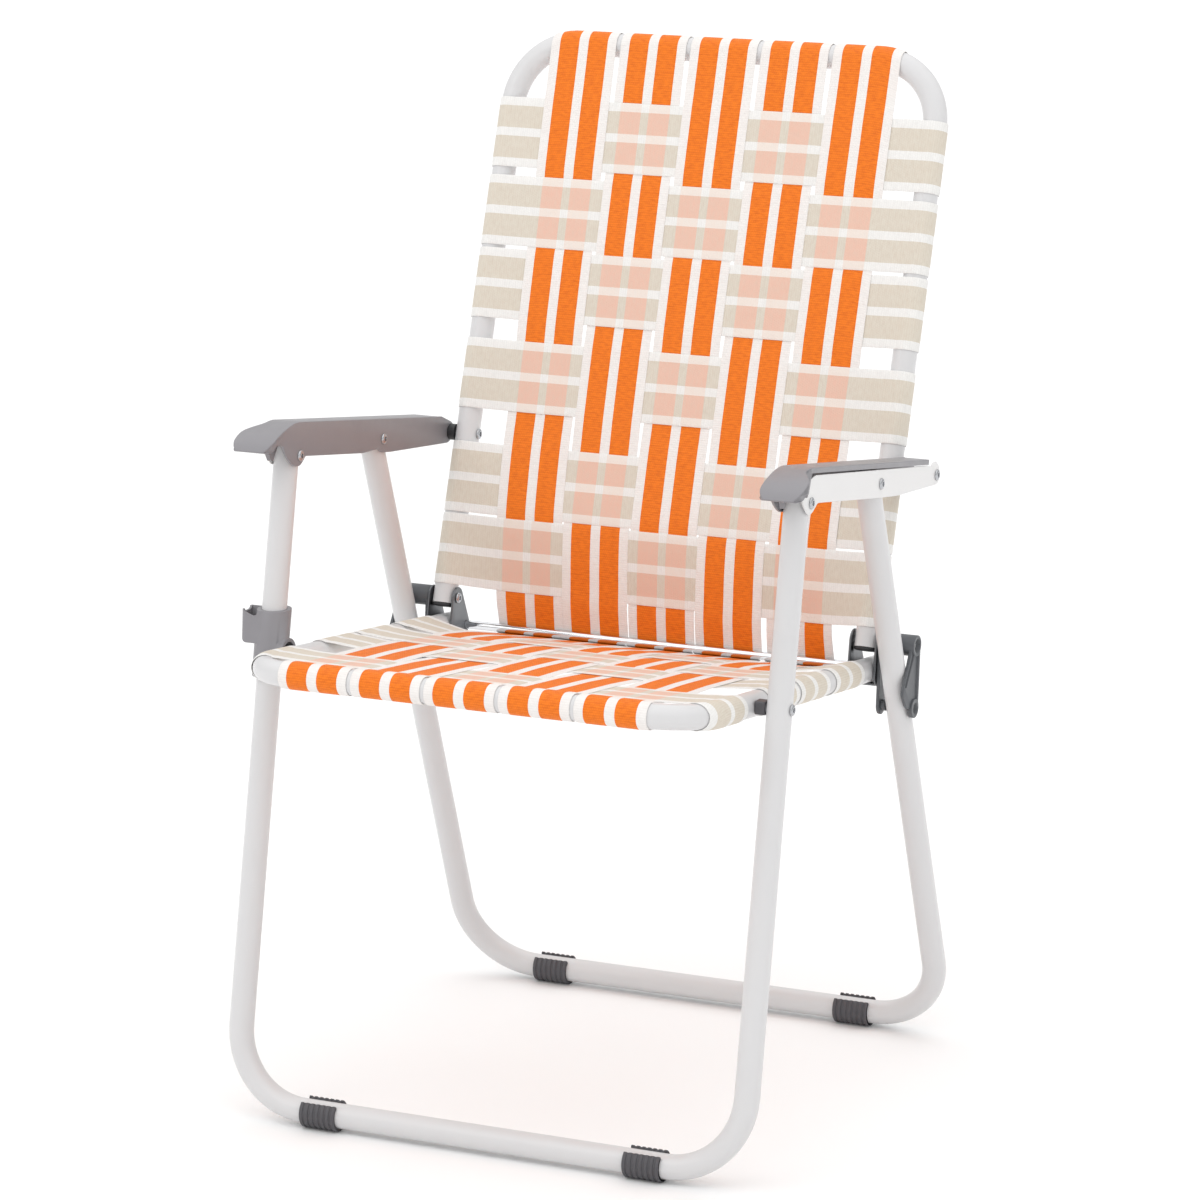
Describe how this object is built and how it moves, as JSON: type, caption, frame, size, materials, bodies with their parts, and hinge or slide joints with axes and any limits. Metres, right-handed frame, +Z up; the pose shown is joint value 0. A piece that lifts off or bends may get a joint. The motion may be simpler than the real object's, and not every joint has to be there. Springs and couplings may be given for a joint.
{
  "type": "folding lawn chair",
  "caption": "Folding lawn chair on painted steel tube with a woven webbing seat and back, moulded armrests, linked legs and a folding hinge",
  "frame": {"origin": "middle of the footprint's bounding box, on the floor under the foot pads", "axes": "+X to the sitter's left as seen from the front right view (across the chair), -Y the way the sitter faces, +Z up"},
  "size_m": [0.524, 0.5752, 0.9072],
  "materials": {
    "white_paint": "smooth gloss white powder coat on steel tube and plate",
    "grey_plastic": "satin moulded grey plastic",
    "dark_plastic": "matte dark grey plastic",
    "bright_steel": "bright zinc and chrome plated steel",
    "orange_webbing": "woven plastic webbing with orange stripes on white",
    "beige_webbing": "woven plastic webbing with beige stripes on white, slightly see-through"
  },
  "bodies": {
    "back": {"back_frame": "white_paint", "back_plug_left": "dark_plastic", "back_plug_right": "dark_plastic", "back_strap_up_1": "orange_webbing", "back_strap_up_2": "orange_webbing", "back_strap_up_3": "orange_webbing", "back_strap_up_4": "orange_webbing", "back_strap_up_5": "orange_webbing", "back_strap_across_1": "beige_webbing", "back_strap_across_2": "beige_webbing", "back_strap_across_3": "beige_webbing", "back_strap_across_4": "beige_webbing", "back_strap_across_5": "beige_webbing", "back_strap_across_6": "beige_webbing"},
    "seat": {"seat_frame": "white_paint", "crease_rod": "bright_steel", "seat_plug_left": "grey_plastic", "hinge_bracket_left": "bright_steel", "seat_spacer_left": "dark_plastic", "hinge_rivet_left": "bright_steel", "seat_plug_right": "grey_plastic", "hinge_bracket_right": "bright_steel", "seat_spacer_right": "dark_plastic", "hinge_rivet_right": "bright_steel", "seat_strap_up_1": "orange_webbing", "seat_strap_up_2": "orange_webbing", "seat_strap_up_3": "orange_webbing", "seat_strap_up_4": "orange_webbing", "seat_strap_up_5": "orange_webbing", "seat_strap_across_1": "beige_webbing", "seat_strap_across_2": "beige_webbing", "seat_strap_across_3": "beige_webbing", "seat_strap_across_4": "beige_webbing"},
    "arms": {"arm_plate_left": "white_paint", "armrest_left": "grey_plastic", "arm_bush_left": "dark_plastic", "front_arm_rivet_left": "bright_steel", "middle_arm_rivet_left": "bright_steel", "rear_arm_rivet_left": "bright_steel", "arm_plate_right": "white_paint", "armrest_right": "grey_plastic", "arm_bush_right": "dark_plastic", "front_arm_rivet_right": "bright_steel", "middle_arm_rivet_right": "bright_steel", "rear_arm_rivet_right": "bright_steel"},
    "front_legs": {"front_leg_frame": "white_paint", "holder_clip": "grey_plastic", "seat_rivet_left": "bright_steel", "front_foot_pad_left": "dark_plastic", "seat_rivet_right": "bright_steel", "front_foot_pad_right": "dark_plastic"},
    "rear_legs": {"rear_leg_frame": "white_paint", "rear_foot_pad_left": "dark_plastic", "rear_foot_pad_right": "dark_plastic"},
    "links": {"hinge_link_left": "grey_plastic", "hinge_link_right": "grey_plastic"}
  },
  "joints": [
    {"name": "fold", "type": "hinge", "parent": "back", "child": "seat", "pos_m": [0, 0.10751, 0.398], "axis": [-1, 0, 0], "range_deg": [0, 86]},
    {"name": "arm_swing", "type": "hinge", "parent": "back", "child": "arms", "pos_m": [0, 0.15645, 0.54317], "axis": [-1, 0, 0], "range_deg": [0, 83.8]},
    {"name": "front_leg_swing", "type": "hinge", "parent": "arms", "child": "front_legs", "pos_m": [0, -0.13558, 0.57292], "axis": [-1, 0, 0], "range_deg": [-74.25, 0]},
    {"name": "rear_leg_swing", "type": "hinge", "parent": "arms", "child": "rear_legs", "pos_m": [0, 0.02271, 0.55991], "axis": [-1, 0, 0], "range_deg": [-48.45, 0]},
    {"name": "link_swing", "type": "hinge", "parent": "back", "child": "links", "pos_m": [0, 0.10751, 0.398], "axis": [-1, 0, 0], "range_deg": [0, 167.1]}
  ],
  "couplings": [
    {"joint": "arm_swing", "follows": "fold", "ratio": 0.97359},
    {"joint": "front_leg_swing", "follows": "fold", "ratio": -0.86246},
    {"joint": "rear_leg_swing", "follows": "fold", "ratio": -0.56233},
    {"joint": "link_swing", "follows": "fold", "ratio": 1.9416}
  ]
}
